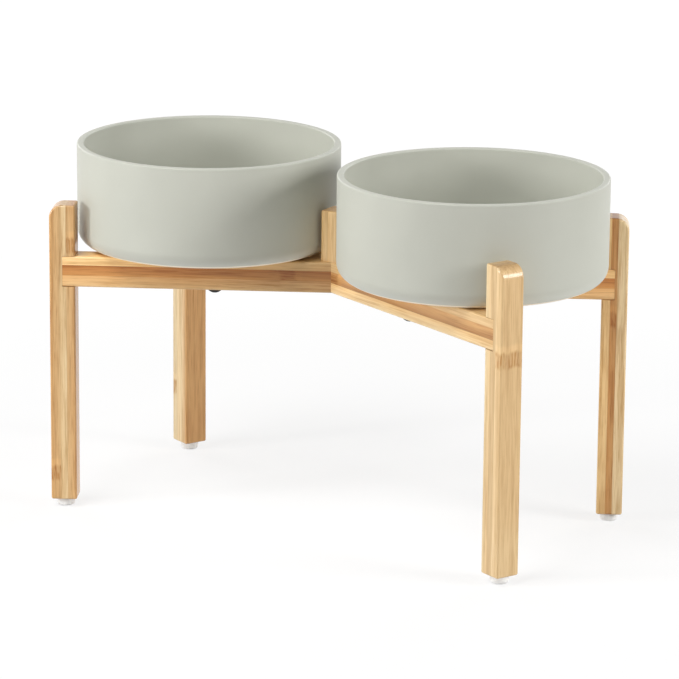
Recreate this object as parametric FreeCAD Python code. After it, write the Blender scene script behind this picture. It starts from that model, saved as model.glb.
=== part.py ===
import FreeCAD, Part

import math
import os

os.makedirs("parts", exist_ok=True)

# Bowls
bowl_diameter = 205.0
bowl_height = 80.0
bowl_wall = 5.5
bowl_base = 6.5
bowl_heel_radius = 12.5
bowl_heel_lift = 0.7
bowl_floor_radius = 16.0
foot_ring_height = 2.5
foot_ring_width = 7.0
foot_ring_inset = 20.0
foot_ring_edge = 0.8

# Bamboo stock
stock_size = 20.0
edge_radius = 1.5
rail_height = 24.0
rail_angle = 25.7
leg_length = 235.0
leg_crown_radius = 10.0
stub_height = 40.0
housing_depth = 10.0

# Spaces round the bowls
post_space = 3.5
leg_space = 3.0

# Dowels in the leg joints
dowel_diameter = 8.0
dowel_in_leg = 6.0
dowel_in_rail = 22.0
dowel_end_gap = 0.5

# Grip plugs in the rails
plug_reach = 95.0
plug_head_diameter = 14.0
plug_head_edge = 0.6
plug_stem_diameter = 8.0
plug_tail_diameter = 13.0
plug_tail_height = 4.0
plug_space = 0.5

# Bolt under the crossing
bolt_diameter = 6.0
bolt_head_diameter = 11.0
bolt_head_height = 3.6
bolt_socket_across = 4.0
bolt_socket_depth = 2.2
washer_diameter = 14.0
washer_thickness = 1.2
counterbore_depth = 6.0
insert_diameter = 9.0
insert_length = 13.0
insert_end_gap = 1.0

# Feet
glide_diameter = 14.0
glide_height = 6.5
glide_edge_radius = 2.2
glide_cover = 2.0
nail_diameter = 2.4
nail_head_diameter = 7.0
nail_head_height = 1.2
nail_in_leg = 16.0
nail_point_height = 3.0

# Clearances
fit_clearance = 0.1
bolt_clearance = 0.3

# Levels and places that follow from the sizes above
bowl_radius = bowl_diameter / 2
half_stock = stock_size / 2
leg_top = glide_height + leg_length
rail_top = leg_top - stub_height
rail_bottom = rail_top - rail_height
lap_level = rail_top - rail_height / 2
bowl_offset = half_stock + post_space + bowl_radius
angle = math.radians(rail_angle)
bowl_along = bowl_offset * math.cos(angle)
bowl_across = bowl_offset * math.sin(angle) - half_stock
leg_inner = bowl_along + math.sqrt((bowl_radius + leg_space) ** 2 - bowl_across ** 2)
leg_reach = leg_inner + half_stock
rail_end = leg_inner + housing_depth
plug_head_height = foot_ring_height - plug_space
washer_level = rail_bottom + counterbore_depth
insert_level = rail_top

LEG_TURNS = {
    "front_left": 180.0 + rail_angle,
    "back_left": 180.0 - rail_angle,
    "front_right": -rail_angle,
    "back_right": rail_angle,
}

UP = FreeCAD.Vector(0, 0, 1)
DOWN = FreeCAD.Vector(0, 0, -1)
OUT = FreeCAD.Vector(1, 0, 0)
ORIGIN = FreeCAD.Vector(0, 0, 0)


def vec(x, y, z):
    return FreeCAD.Vector(x, y, z)


def export(shape, name):
    """Writes one checked node to its own file."""
    if not shape.isValid():
        raise ValueError(name + " is not a valid solid")
    shape.exportStep("parts/" + name + ".step")


def turned(shape, degrees):
    """Returns a copy of a shape, turned about the stand's upright centre line."""
    copy = shape.copy()
    copy.rotate(ORIGIN, UP, degrees)
    return copy


def moved(shape, x, y, z):
    """Returns a copy of a shape, moved without turning it."""
    copy = shape.copy()
    copy.translate(vec(x, y, z))
    return copy


def rod(diameter, length, base, direction):
    return Part.makeCylinder(diameter / 2, length, base, direction)


def spun(points):
    """Returns the solid made by turning a closed profile of lines and arcs about the upright axis."""
    edges = []
    for item in points:
        if len(item) == 2:
            edges.append(Part.makeLine(item[0], item[1]))
        else:
            edges.append(Part.Arc(item[0], item[1], item[2]).toShape())
    face = Part.Face(Part.Wire(edges))
    return face.revolve(ORIGIN, UP, 360)


def corner_mid(centre_r, centre_z, radius, degrees):
    """Returns the middle point of an arc of a profile."""
    turn = math.radians(degrees)
    return vec(centre_r + radius * math.cos(turn), 0, centre_z + radius * math.sin(turn))


def along_x(edge):
    start, end = edge.Vertexes[0].Point, edge.Vertexes[-1].Point
    return abs(start.y - end.y) < fit_clearance and abs(start.z - end.z) < fit_clearance


# A straight-sided bowl with a rounded rim, heel and floor corner, whose underside slopes down to a foot ring
def make_bowl():
    ring_outer = bowl_radius - foot_ring_inset
    ring_inner = ring_outer - foot_ring_width
    under = foot_ring_height
    floor = foot_ring_height + bowl_base
    rim = bowl_wall / 2
    rim_level = bowl_height - rim
    inside = bowl_radius - bowl_wall
    floor_r = inside - bowl_floor_radius
    floor_z = floor + bowl_floor_radius
    heel_r = bowl_radius - bowl_heel_radius
    heel_z = bowl_heel_lift + bowl_heel_radius
    edge = foot_ring_edge
    profile = [
        (vec(0, 0, under), vec(ring_inner, 0, under)),
        (vec(ring_inner, 0, under), vec(ring_inner, 0, edge)),
        (vec(ring_inner, 0, edge), corner_mid(ring_inner + edge, edge, edge, 225), vec(ring_inner + edge, 0, 0)),
        (vec(ring_inner + edge, 0, 0), vec(ring_outer, 0, 0)),
        (vec(ring_outer, 0, 0), vec(heel_r, 0, bowl_heel_lift)),
        (vec(heel_r, 0, bowl_heel_lift), corner_mid(heel_r, heel_z, bowl_heel_radius, 315),
         vec(bowl_radius, 0, heel_z)),
        (vec(bowl_radius, 0, heel_z), vec(bowl_radius, 0, rim_level)),
        (vec(bowl_radius, 0, rim_level), vec(bowl_radius - rim, 0, bowl_height), vec(inside, 0, rim_level)),
        (vec(inside, 0, rim_level), vec(inside, 0, floor_z)),
        (vec(inside, 0, floor_z), corner_mid(floor_r, floor_z, bowl_floor_radius, 315), vec(floor_r, 0, floor)),
        (vec(floor_r, 0, floor), vec(0, 0, floor)),
        (vec(0, 0, floor), vec(0, 0, under)),
    ]
    return spun(profile)


# A leg with its outer top edge crowned, housed on its inner side for the rail
def make_leg():
    crown_x = half_stock - leg_crown_radius
    crown_z = leg_length - leg_crown_radius
    crown = corner_mid(crown_x, crown_z, leg_crown_radius, 45)
    side = [
        Part.makeLine(vec(-half_stock, 0, 0), vec(half_stock, 0, 0)),
        Part.makeLine(vec(half_stock, 0, 0), vec(half_stock, 0, crown_z)),
        Part.Arc(vec(half_stock, 0, crown_z), crown, vec(crown_x, 0, leg_length)).toShape(),
        Part.makeLine(vec(crown_x, 0, leg_length), vec(-half_stock, 0, leg_length)),
        Part.makeLine(vec(-half_stock, 0, leg_length), vec(-half_stock, 0, 0)),
    ]
    blank = Part.Face(Part.Wire(side)).extrude(vec(0, stock_size, 0))
    blank.translate(vec(0, -half_stock, 0))
    leg = blank.makeFillet(edge_radius, [e for e in blank.Edges if not smooth_joint(e, crown_x, crown_z)])
    leg = moved(leg, leg_reach, 0, glide_height)
    housing = Part.makeBox(housing_depth, stock_size, rail_height, vec(leg_inner, -half_stock, rail_bottom))
    dowel_hole = rod(
        dowel_diameter + 2 * fit_clearance,
        dowel_in_leg + dowel_end_gap,
        vec(rail_end, 0, lap_level),
        OUT,
    )
    nail_hole = rod(nail_diameter + 2 * fit_clearance, nail_in_leg + fit_clearance, vec(leg_reach, 0, glide_height), UP)
    return leg.cut(housing).cut(dowel_hole).cut(nail_hole)


def smooth_joint(edge, crown_x, crown_z):
    """Tells whether an edge only joins the crown to a flat face, where there is nothing to round."""
    middle = edge.CenterOfMass
    at_side = abs(middle.x - half_stock) < fit_clearance and abs(middle.z - crown_z) < fit_clearance
    at_top = abs(middle.x - crown_x) < fit_clearance and abs(middle.z - leg_length) < fit_clearance
    return at_side or at_top


# A rail that runs from leg to leg, lapped half its height where the two rails cross
def make_rail(turn, other_turn, is_lower):
    blank = Part.makeBox(2 * rail_end, stock_size, rail_height, vec(-rail_end, -half_stock, rail_bottom))
    rail = blank.makeFillet(edge_radius, [e for e in blank.Edges if along_x(e)])
    lap = Part.makeBox(2 * rail_end, stock_size, rail_height / 2, vec(-rail_end, -half_stock, rail_bottom))
    if is_lower:
        lap = moved(lap, 0, 0, rail_height / 2)
    rail = rail.cut(turned(lap, other_turn - turn))
    bolt_hole = rod(bolt_diameter + 2 * bolt_clearance, rail_height, vec(0, 0, rail_bottom), UP)
    rail = rail.cut(bolt_hole)
    if is_lower:
        seat = rod(washer_diameter + 2 * bolt_clearance, counterbore_depth, vec(0, 0, rail_bottom), UP)
        rail = rail.cut(seat)
    for end in (1, -1):
        plug_hole = rod(plug_stem_diameter + 2 * fit_clearance, rail_height, vec(end * plug_reach, 0, rail_bottom), UP)
        rail = rail.cut(plug_hole)
        dowel_hole = rod(
            dowel_diameter + 2 * fit_clearance,
            dowel_in_rail + dowel_end_gap,
            vec(end * rail_end, 0, lap_level),
            vec(-end, 0, 0),
        )
        rail = rail.cut(dowel_hole)
    return turned(rail, turn)


# The post on the crossing that keeps the bowls apart
def make_post():
    blank = Part.makeBox(stock_size, stock_size, stub_height, vec(-half_stock, -half_stock, rail_top))
    rounded = [e for e in blank.Edges if e.CenterOfMass.z > rail_top + fit_clearance]
    post = blank.makeFillet(edge_radius, rounded)
    insert_hole = rod(insert_diameter + 2 * fit_clearance, insert_length + insert_end_gap, vec(0, 0, insert_level), UP)
    return post.cut(insert_hole)


def make_insert():
    sleeve = rod(insert_diameter, insert_length, vec(0, 0, insert_level), UP)
    return sleeve.cut(rod(bolt_diameter + 2 * fit_clearance, insert_length, vec(0, 0, insert_level), UP))


def make_washer():
    base = vec(0, 0, washer_level - washer_thickness)
    disc = rod(washer_diameter, washer_thickness, base, UP)
    return disc.cut(rod(bolt_diameter + 2 * bolt_clearance, washer_thickness, base, UP))


def make_bolt():
    seat = washer_level - washer_thickness
    shank = rod(bolt_diameter, insert_level + insert_length - seat, vec(0, 0, seat), UP)
    head = rod(bolt_head_diameter, bolt_head_height, vec(0, 0, seat), DOWN)
    corner = bolt_socket_across / 2 / math.cos(math.radians(30))
    points = []
    for step in range(7):
        turn = math.radians(60 * step)
        points.append(vec(corner * math.cos(turn), corner * math.sin(turn), seat - bolt_head_height))
    socket = Part.Face(Part.makePolygon(points)).extrude(vec(0, 0, bolt_socket_depth))
    return shank.fuse(head).removeSplitter().cut(socket)


# A rubber plug: flat head on the rail, stem through it and domed tail below
def make_plug():
    head_r = plug_head_diameter / 2
    stem_r = plug_stem_diameter / 2
    tail_r = plug_tail_diameter / 2
    head_top = rail_top + plug_head_height
    tail_end = rail_bottom - plug_tail_height
    dome_radius = (tail_r ** 2 + plug_tail_height ** 2) / (2 * plug_tail_height)
    dome_z = tail_end + dome_radius
    dome_turn = math.degrees(math.asin(tail_r / dome_radius)) / 2
    edge = plug_head_edge
    profile = [
        (vec(0, 0, tail_end), corner_mid(0, dome_z, dome_radius, dome_turn - 90), vec(tail_r, 0, rail_bottom)),
        (vec(tail_r, 0, rail_bottom), vec(stem_r, 0, rail_bottom)),
        (vec(stem_r, 0, rail_bottom), vec(stem_r, 0, rail_top)),
        (vec(stem_r, 0, rail_top), vec(head_r, 0, rail_top)),
        (vec(head_r, 0, rail_top), vec(head_r, 0, head_top - edge)),
        (
            vec(head_r, 0, head_top - edge),
            corner_mid(head_r - edge, head_top - edge, edge, 45),
            vec(head_r - edge, 0, head_top),
        ),
        (vec(head_r - edge, 0, head_top), vec(0, 0, head_top)),
        (vec(0, 0, head_top), vec(0, 0, tail_end)),
    ]
    return moved(spun(profile), plug_reach, 0, 0)


# A nail-on glide: white cap with a rounded lower edge, moulded round the head of its nail
def make_glide():
    blank = rod(glide_diameter, glide_height, vec(leg_reach, 0, 0), UP)
    lower = [e for e in blank.Edges if e.CenterOfMass.z < fit_clearance and len(e.Vertexes) == 1]
    cap = blank.makeFillet(glide_edge_radius, lower)
    return cap.cut(make_nail())


def make_nail():
    head_top = glide_cover + nail_head_height
    point = glide_height + nail_in_leg
    shoulder = point - nail_point_height
    shank_r = nail_diameter / 2
    head_r = nail_head_diameter / 2
    profile = [
        (vec(0, 0, glide_cover), vec(head_r, 0, glide_cover)),
        (vec(head_r, 0, glide_cover), vec(head_r, 0, head_top)),
        (vec(head_r, 0, head_top), vec(shank_r, 0, head_top)),
        (vec(shank_r, 0, head_top), vec(shank_r, 0, shoulder)),
        (vec(shank_r, 0, shoulder), vec(0, 0, point)),
        (vec(0, 0, point), vec(0, 0, glide_cover)),
    ]
    return moved(spun(profile), leg_reach, 0, 0)


def make_dowel():
    return rod(dowel_diameter, dowel_in_rail + dowel_in_leg, vec(rail_end - dowel_in_rail, 0, lap_level), OUT)


# Nodes
bowl = make_bowl()
export(moved(bowl, -bowl_offset, 0, rail_top), "bowl_left")
export(moved(bowl, bowl_offset, 0, rail_top), "bowl_right")

export(make_rail(rail_angle, -rail_angle, True), "rail_lower")
export(make_rail(-rail_angle, rail_angle, False), "rail_upper")

leg = make_leg()
glide = make_glide()
plug = make_plug()
for place, turn in LEG_TURNS.items():
    export(turned(leg, turn), "leg_" + place)
    export(turned(glide, turn), "foot_" + place)
    export(turned(plug, turn), "grip_plug_" + place)

export(Part.makeCompound([turned(make_nail(), turn) for turn in LEG_TURNS.values()]), "foot_nails")
export(Part.makeCompound([turned(make_dowel(), turn) for turn in LEG_TURNS.values()]), "leg_dowels")

export(make_post(), "centre_post")
export(make_bolt(), "centre_bolt")
export(make_washer(), "centre_washer")
export(make_insert(), "centre_insert")
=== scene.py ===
"""Looks of an elevated double pet bowl: two glazed bowls that lift out of a laminated bamboo stand."""

import logging
import math
from dataclasses import dataclass
from enum import Enum
from typing import Any, Callable, Dict, List, Optional, Sequence, Tuple

import bmesh
import bpy
from mathutils import Matrix, Vector


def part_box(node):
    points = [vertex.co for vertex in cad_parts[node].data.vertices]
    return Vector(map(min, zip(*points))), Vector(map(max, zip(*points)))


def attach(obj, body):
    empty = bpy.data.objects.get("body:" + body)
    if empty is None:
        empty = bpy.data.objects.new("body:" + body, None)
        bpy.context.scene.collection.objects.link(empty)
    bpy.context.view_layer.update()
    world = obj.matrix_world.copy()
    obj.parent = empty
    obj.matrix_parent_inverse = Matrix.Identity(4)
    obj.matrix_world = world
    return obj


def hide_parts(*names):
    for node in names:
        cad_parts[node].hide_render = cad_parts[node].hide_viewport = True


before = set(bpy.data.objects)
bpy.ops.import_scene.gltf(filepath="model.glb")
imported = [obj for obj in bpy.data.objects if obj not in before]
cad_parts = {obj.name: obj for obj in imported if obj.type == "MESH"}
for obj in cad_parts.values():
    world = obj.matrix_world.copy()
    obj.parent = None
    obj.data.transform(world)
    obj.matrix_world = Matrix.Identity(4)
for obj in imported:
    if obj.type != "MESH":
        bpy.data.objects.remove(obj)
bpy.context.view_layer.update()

LOG = logging.getLogger("pet_bowl")
MM = 0.001
ROD_SEGMENTS = 48

Colour = Tuple[float, float, float, float]
Point = Tuple[float, float]
EdgeTest = Callable[[Vector, Vector], bool]


def tone(red: int, green: int, blue: int) -> Colour:
    """Turns a display colour into the linear colour that a shader takes.

    Args:
        red: Red, from 0 to 255.
        green: Green, from 0 to 255.
        blue: Blue, from 0 to 255.

    Returns:
        The linear colour, opaque.
    """
    shares = (level / 255 for level in (red, green, blue))
    linear = [s / 12.92 if s <= 0.04045 else ((s + 0.055) / 1.055) ** 2.4 for s in shares]
    return (linear[0], linear[1], linear[2], 1.0)


class Field:
    """A socket that takes part in Python expressions: each operator adds one Math node."""

    def __init__(self, sheet: "NodeSheet", socket: bpy.types.NodeSocket) -> None:
        """Keeps the socket and the sheet that it lies on."""
        self.sheet = sheet
        self.socket = socket

    def also(self, output: str) -> "Field":
        """Gives another output of the same node."""
        return self.sheet.output(self.socket.node, output)

    def _math(self, operation: str, *values: Any) -> "Field":
        """Adds a Math node on these values."""
        inputs = dict(zip(("Value", "Value_001"), values))
        return self.sheet.node("ShaderNodeMath", {"operation": operation}, inputs)

    def __add__(self, other: Any) -> "Field":
        """Adds two values."""
        return self._math("ADD", self, other)

    def __radd__(self, other: Any) -> "Field":
        """Adds a number and a value."""
        return self._math("ADD", other, self)

    def __sub__(self, other: Any) -> "Field":
        """Takes one value from another."""
        return self._math("SUBTRACT", self, other)

    def __rsub__(self, other: Any) -> "Field":
        """Takes a value from a number."""
        return self._math("SUBTRACT", other, self)

    def __mul__(self, other: Any) -> "Field":
        """Multiplies two values."""
        return self._math("MULTIPLY", self, other)

    def __rmul__(self, other: Any) -> "Field":
        """Multiplies a number and a value."""
        return self._math("MULTIPLY", other, self)

    def __truediv__(self, other: Any) -> "Field":
        """Divides one value by another."""
        return self._math("DIVIDE", self, other)

    def __rtruediv__(self, other: Any) -> "Field":
        """Divides a number by a value."""
        return self._math("DIVIDE", other, self)

    def __gt__(self, other: Any) -> "Field":
        """Gives 1 where the value is greater, and 0 elsewhere."""
        return self._math("GREATER_THAN", self, other)

    def __lt__(self, other: Any) -> "Field":
        """Gives 1 where the value is less, and 0 elsewhere."""
        return self._math("LESS_THAN", self, other)

    def __abs__(self) -> "Field":
        """Drops the sign."""
        return self._math("ABSOLUTE", self)

    def least(self, other: Any) -> "Field":
        """Gives the lesser of two values."""
        return self._math("MINIMUM", self, other)

    def most(self, other: Any) -> "Field":
        """Gives the greater of two values."""
        return self._math("MAXIMUM", self, other)

    def ramp(self, low: float, high: float) -> "Field":
        """Rises smoothly from 0 at low to 1 at high.

        Args:
            low: The value that gives 0.
            high: The value that gives 1, which may be the lesser.

        Returns:
            The eased share, held within 0 and 1.
        """
        if high < low:
            return 1 - self.ramp(high, low)
        inputs = {"Value": self, "From Min": low, "From Max": high}
        return self.sheet.node("ShaderNodeMapRange", {"interpolation_type": "SMOOTHSTEP"}, inputs)


class NodeSheet:
    """A node tree that is built by one node-making method."""

    def __init__(self, tree: bpy.types.NodeTree) -> None:
        """Starts from an empty tree."""
        self.tree = tree
        tree.nodes.clear()

    def output(self, node: bpy.types.Node, name: str = "") -> Field:
        """Gives a node's output by its identifier, or its first one in use."""
        shown = [s for s in node.outputs if s.enabled and name in ("", s.identifier)]
        return Field(self, shown[0])

    def add(
        self,
        kind: str,
        settings: Optional[Dict[str, Any]] = None,
        inputs: Optional[Dict[str, Any]] = None,
    ) -> bpy.types.Node:
        """Adds one node to the tree.

        Args:
            kind: The node's type.
            settings: Its properties, which are set first.
            inputs: Values or links, by socket identifier.

        Returns:
            The node.
        """
        node = self.tree.nodes.new(kind)
        for name, value in (settings or {}).items():
            setattr(node, name, value)
        for name, value in (inputs or {}).items():
            self.plug(node, name, value)
        return node

    def node(
        self,
        kind: str,
        settings: Optional[Dict[str, Any]] = None,
        inputs: Optional[Dict[str, Any]] = None,
        output: str = "",
    ) -> Field:
        """Adds one node and gives the output of that identifier, or else its first one in use."""
        return self.output(self.add(kind, settings, inputs), output)

    def plug(self, node: bpy.types.Node, name: str, value: Any) -> None:
        """Links a field to a node's input, or sets a plain value there.

        Args:
            node: The node.
            name: The identifier of its input.
            value: The field or the plain value.
        """
        socket = next(s for s in node.inputs if s.identifier == name)
        if isinstance(value, Field):
            self.tree.links.new(value.socket, socket)
        else:
            socket.default_value = value

    def vector(self, x: Any, y: Any, z: Any) -> Field:
        """Joins three values to a vector."""
        return self.node("ShaderNodeCombineXYZ", {}, {"X": x, "Y": y, "Z": z})

    def parts(self, vector: Any) -> Tuple[Field, Field, Field]:
        """Splits a vector into its three values."""
        first = self.node("ShaderNodeSeparateXYZ", {}, {"Vector": vector})
        return first, first.also("Y"), first.also("Z")

    def seen(self) -> Field:
        """Gives 1 to rays from the camera, off a glossy face or through glass, and 0 to all others."""
        path = self.node("ShaderNodeLightPath", {}, {}, "Is Camera Ray")
        return path.most(path.also("Is Glossy Ray")).most(path.also("Is Transmission Ray"))


class FinishSheet(NodeSheet):
    """A material's node tree, with the few nodes that every finish shares."""

    def __init__(self, name: str) -> None:
        """Makes an empty material.

        Args:
            name: The material's name.
        """
        self.material = bpy.data.materials.new(name)
        self.material.use_nodes = True
        super().__init__(self.material.node_tree)

    def place(self, centre: Sequence[float] = (0, 0, 0), turn: float = 0.0) -> Field:
        """Gives the object's coordinates, from a centre and turned about the upright axis.

        Args:
            centre: The point that they are counted from.
            turn: The turn of their axes, in radians.

        Returns:
            The coordinates, in metres.
        """
        coordinates = self.node("ShaderNodeTexCoord", {}, {}, "Object")
        inputs = {"Vector": coordinates, "Location": tuple(centre), "Rotation": (0, 0, turn)}
        return self.node("ShaderNodeMapping", {"vector_type": "TEXTURE"}, inputs)

    def noise(self, vector: Field, scale: float = 1.0, detail: float = 2.0) -> Field:
        """Gives smooth noise, about 0.5 on average."""
        inputs = {"Vector": vector, "Scale": scale, "Detail": detail}
        return self.node("ShaderNodeTexNoise", {}, inputs, "Fac")

    def mix(self, share: Any, low: Any, high: Any, way: str = "MIX") -> Field:
        """Mixes two colours.

        Args:
            share: How much of the second colour shows.
            low: The first colour.
            high: The second colour.
            way: How the second colour acts on the first.

        Returns:
            The mixed colour.
        """
        inputs = {"Factor_Float": share, "A_Color": low, "B_Color": high}
        return self.node("ShaderNodeMix", {"data_type": "RGBA", "blend_type": way}, inputs)

    def tint(self, share: Any, colour: Field, by: Any) -> Field:
        """Multiplies a colour by another, as far as the share says."""
        return self.mix(share, colour, by, "MULTIPLY")

    def bump(self, height: Field, depth: float, strength: float = 1.0) -> Field:
        """Gives a normal for a fine relief of that depth in metres."""
        inputs = {"Strength": strength, "Distance": depth, "Height": height}
        return self.node("ShaderNodeBump", {}, inputs)

    def finish(self, surface: Dict[str, Any]) -> bpy.types.Material:
        """Ends the tree in a Principled surface with these sockets."""
        self.close(self.node("ShaderNodeBsdfPrincipled", {}, surface))
        return self.material

    def close(self, shader: Field) -> None:
        """Links a shader to the material's output."""
        self.add("ShaderNodeOutputMaterial", {}, {"Surface": shader})


class Grain(Enum):
    """The way that a bar's grain runs."""

    UPRIGHT = "upright"
    LEVEL = "level"


@dataclass(frozen=True)
class BarLie:
    """Where a bar lies: its centre, its turn about the upright axis and the way of its grain."""

    # How far a face looks along the grain where end grain starts to show, and where it shows in full
    END_FACE = (0.50, 0.95)

    centre: Tuple[float, float, float]
    turn: float
    grain: Grain
    half_build: float

    def axes(self, sheet: FinishSheet) -> Tuple[Field, Field, Field]:
        """Gives the distances along the grain, across it, and through the plies, in metres."""
        x, y, z = sheet.parts(sheet.place(self.centre, self.turn))
        return (z, y, x) if self.grain is Grain.UPRIGHT else (x, y, z)

    def end_grain(self, sheet: FinishSheet) -> Field:
        """Gives 1 on the faces that cut the grain square, and 0 on those along it.

        Args:
            sheet: The material's sheet.

        Returns:
            The share of end grain.
        """
        normal = sheet.node("ShaderNodeTexCoord", {}, {}, "Normal")
        inputs = {"Vector": normal, "Rotation": (0, 0, self.turn)}
        x, _, z = sheet.parts(sheet.node("ShaderNodeMapping", {"vector_type": "TEXTURE"}, inputs))
        return abs(z if self.grain is Grain.UPRIGHT else x).ramp(*self.END_FACE)


@dataclass(frozen=True)
class Ply:
    """One strip of a laminated bar: its tone at its two glue lines, and the place of its knuckle.

    A knuckle a metre away, as by default, is off the bar, so the strip has none.
    """

    low: Colour
    high: Colour
    knuckle: float = -1.0


@dataclass(frozen=True)
class Streak:
    """One kind of streak: its waves to the metre, the noise levels between which it shows, its weight."""

    along: float
    across: float
    shows: Tuple[float, float]
    weight: float
    detail: float = 2.0


@dataclass(frozen=True)
class BambooFinish:
    """Clear-lacquered bamboo, laminated from three plies, with its streaks, glue lines and knuckles."""

    BROAD = Streak(16, 330, (0.42, 0.70), 0.40)
    FINE = Streak(36, 1100, (0.44, 0.70), 0.40)
    DASH = Streak(110, 3000, (0.60, 0.74), 0.25, detail=1.0)

    # How far from its middle a mark starts to show, and how far from it the mark shows in full
    KNOT = (7.5 * MM, 4.0 * MM)
    LIP = (4.5 * MM, 1.0 * MM)
    GLUE_LINE = (0.32 * MM, 0.06 * MM)
    LIP_ABOVE_KNOT = 8.5 * MM

    # How far the fibres bend and quiver along a bar, how uneven a knuckle is and how far it crowds them
    BEND = 2.6 * MM
    QUIVER = 0.8 * MM
    UNEVEN = 5.0 * MM
    CROWDING = 2.5 * MM

    # How far the figure of one ply is shifted from that of the next, across a bar and through it
    SHIFT_ACROSS = 41 * MM
    SHIFT_THROUGH = 67 * MM

    # How far from a bar's middle its tone is as given, when light and shade are painted along it
    PALE_FROM = 110 * MM

    plies: Tuple[Ply, Ply, Ply]
    lines: Tuple[float, float]
    seed: float
    depth: float = 1.0
    # How strongly light is painted onto the bar's ends and shade onto its middle
    painted_end_light: float = 0.0
    stain: Colour = (0.66, 0.52, 0.36, 1.0)
    tan: Colour = (0.84, 0.74, 0.60, 1.0)
    glue: Colour = tone(128, 84, 48)
    knuckle_dark: Colour = (0.72, 0.53, 0.32, 1.0)
    knuckle_pale: Colour = (1.16, 1.16, 1.14, 1.0)
    end_tint: Colour = (0.70, 0.62, 0.52, 1.0)

    @staticmethod
    def by_strip(first: Field, second: Field, values: Sequence[float]) -> Field:
        """Gives each of the three plies its own value."""
        return values[0] + first * (values[1] - values[0]) + second * (values[2] - values[1])

    def material(self, name: str, lie: BarLie) -> bpy.types.Material:
        """Makes the bamboo of one bar.

        Args:
            name: The material's name.
            lie: Where the bar lies.

        Returns:
            The material.
        """
        sheet = FinishSheet(name)
        along, across, build = lie.axes(sheet)
        first = build > self.lines[0]
        second = build > self.lines[1]
        strip = first + second
        edges = (-lie.half_build, *self.lines, lie.half_build)
        start = self.by_strip(first, second, edges[:3])
        width = self.by_strip(first, second, [b - a for a, b in zip(edges, edges[1:])])
        share = (build - start) / width

        def along_bar(waves: float, y: Any, z: Any = 0.0, detail: float = 2.0) -> Field:
            """Gives noise with that many waves to the metre along the bar."""
            return sheet.noise(sheet.vector(along * waves + self.seed, y, z), detail=detail)

        # The fibres sway a little along the bar, and crowd together at a knuckle
        bend = along_bar(9, strip * 3.1) - 0.5
        quiver = along_bar(50, strip * 5.3) - 0.5
        sway = bend * self.BEND + quiver * self.QUIVER
        ripple = sheet.noise(sheet.vector(across * 300, build * 300, strip + self.seed)) - 0.5
        knuckle = self.by_strip(first, second, [p.knuckle for p in self.plies])
        reach = along - knuckle - ripple * self.UNEVEN
        knot = abs(reach).ramp(*self.KNOT)
        lip = abs(reach - self.LIP_ABOVE_KNOT).ramp(*self.LIP)
        side = across + sway + strip * self.SHIFT_ACROSS + knot * ripple * self.CROWDING
        deep = build + sway * 0.6 + strip * self.SHIFT_THROUGH

        drift = along_bar(11, strip * 7.7, across * 40)
        kinds = (self.BROAD, self.FINE, self.DASH)
        fibres = [along_bar(k.along, side * k.across, deep * k.across, k.detail) for k in kinds]
        fine_fibre = fibres[kinds.index(self.FINE)]
        broad, fine, dash = (fibre.ramp(*k.shows) for fibre, k in zip(fibres, kinds))
        streaks = broad * self.BROAD.weight + fine * self.FINE.weight + dash * self.DASH.weight
        stain = streaks * (0.45 + drift * 1.1)

        strips = [sheet.mix(share, p.low, p.high) for p in self.plies]
        base = sheet.mix(second, sheet.mix(first, strips[0], strips[1]), strips[2])
        tan = along_bar(6, strip * 9.3, detail=1.0).ramp(0.42, 0.68)
        base = sheet.tint(tan * 0.4, base, self.tan)
        # Painted light and shade along the bar: paler towards its ends, darker in its middle where the
        # bowls shade it
        base = sheet.tint(1.0, base, 1 + (abs(along) - self.PALE_FROM) * self.painted_end_light)
        colour = sheet.tint((stain * self.depth).least(1.0), base, self.stain)

        gap = abs(build - self.lines[0]).least(abs(build - self.lines[1]))
        fade = sheet.noise(sheet.vector(along * 18, strip, self.seed))
        line = gap.ramp(*self.GLUE_LINE) * fade.ramp(0.42, 0.68)
        colour = sheet.mix(line * 0.40, colour, self.glue)

        strokes = sheet.noise(sheet.vector(along * 80, across * 800, build * 800 + self.seed))
        colour = sheet.tint(lip * 0.60, colour, self.knuckle_pale)
        dark = (knot * (0.28 + strokes.ramp(0.44, 0.60) * 0.72)).least(1.0)
        colour = sheet.tint(dark, colour, self.knuckle_dark)
        colour = sheet.tint(lie.end_grain(sheet), colour, self.end_tint)

        relief = fine_fibre * 0.5 - dash * 0.4 - line * 0.8
        return sheet.finish({
            "Base Color": colour,
            "Roughness": 0.34 + fine_fibre * 0.12 + knot * 0.06,
            "Normal": sheet.bump(relief, 0.05 * MM, 0.5),
            "Specular IOR Level": 0.30,
            "Coat Weight": 0.50,
            "Coat Roughness": 0.12,
        })


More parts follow.
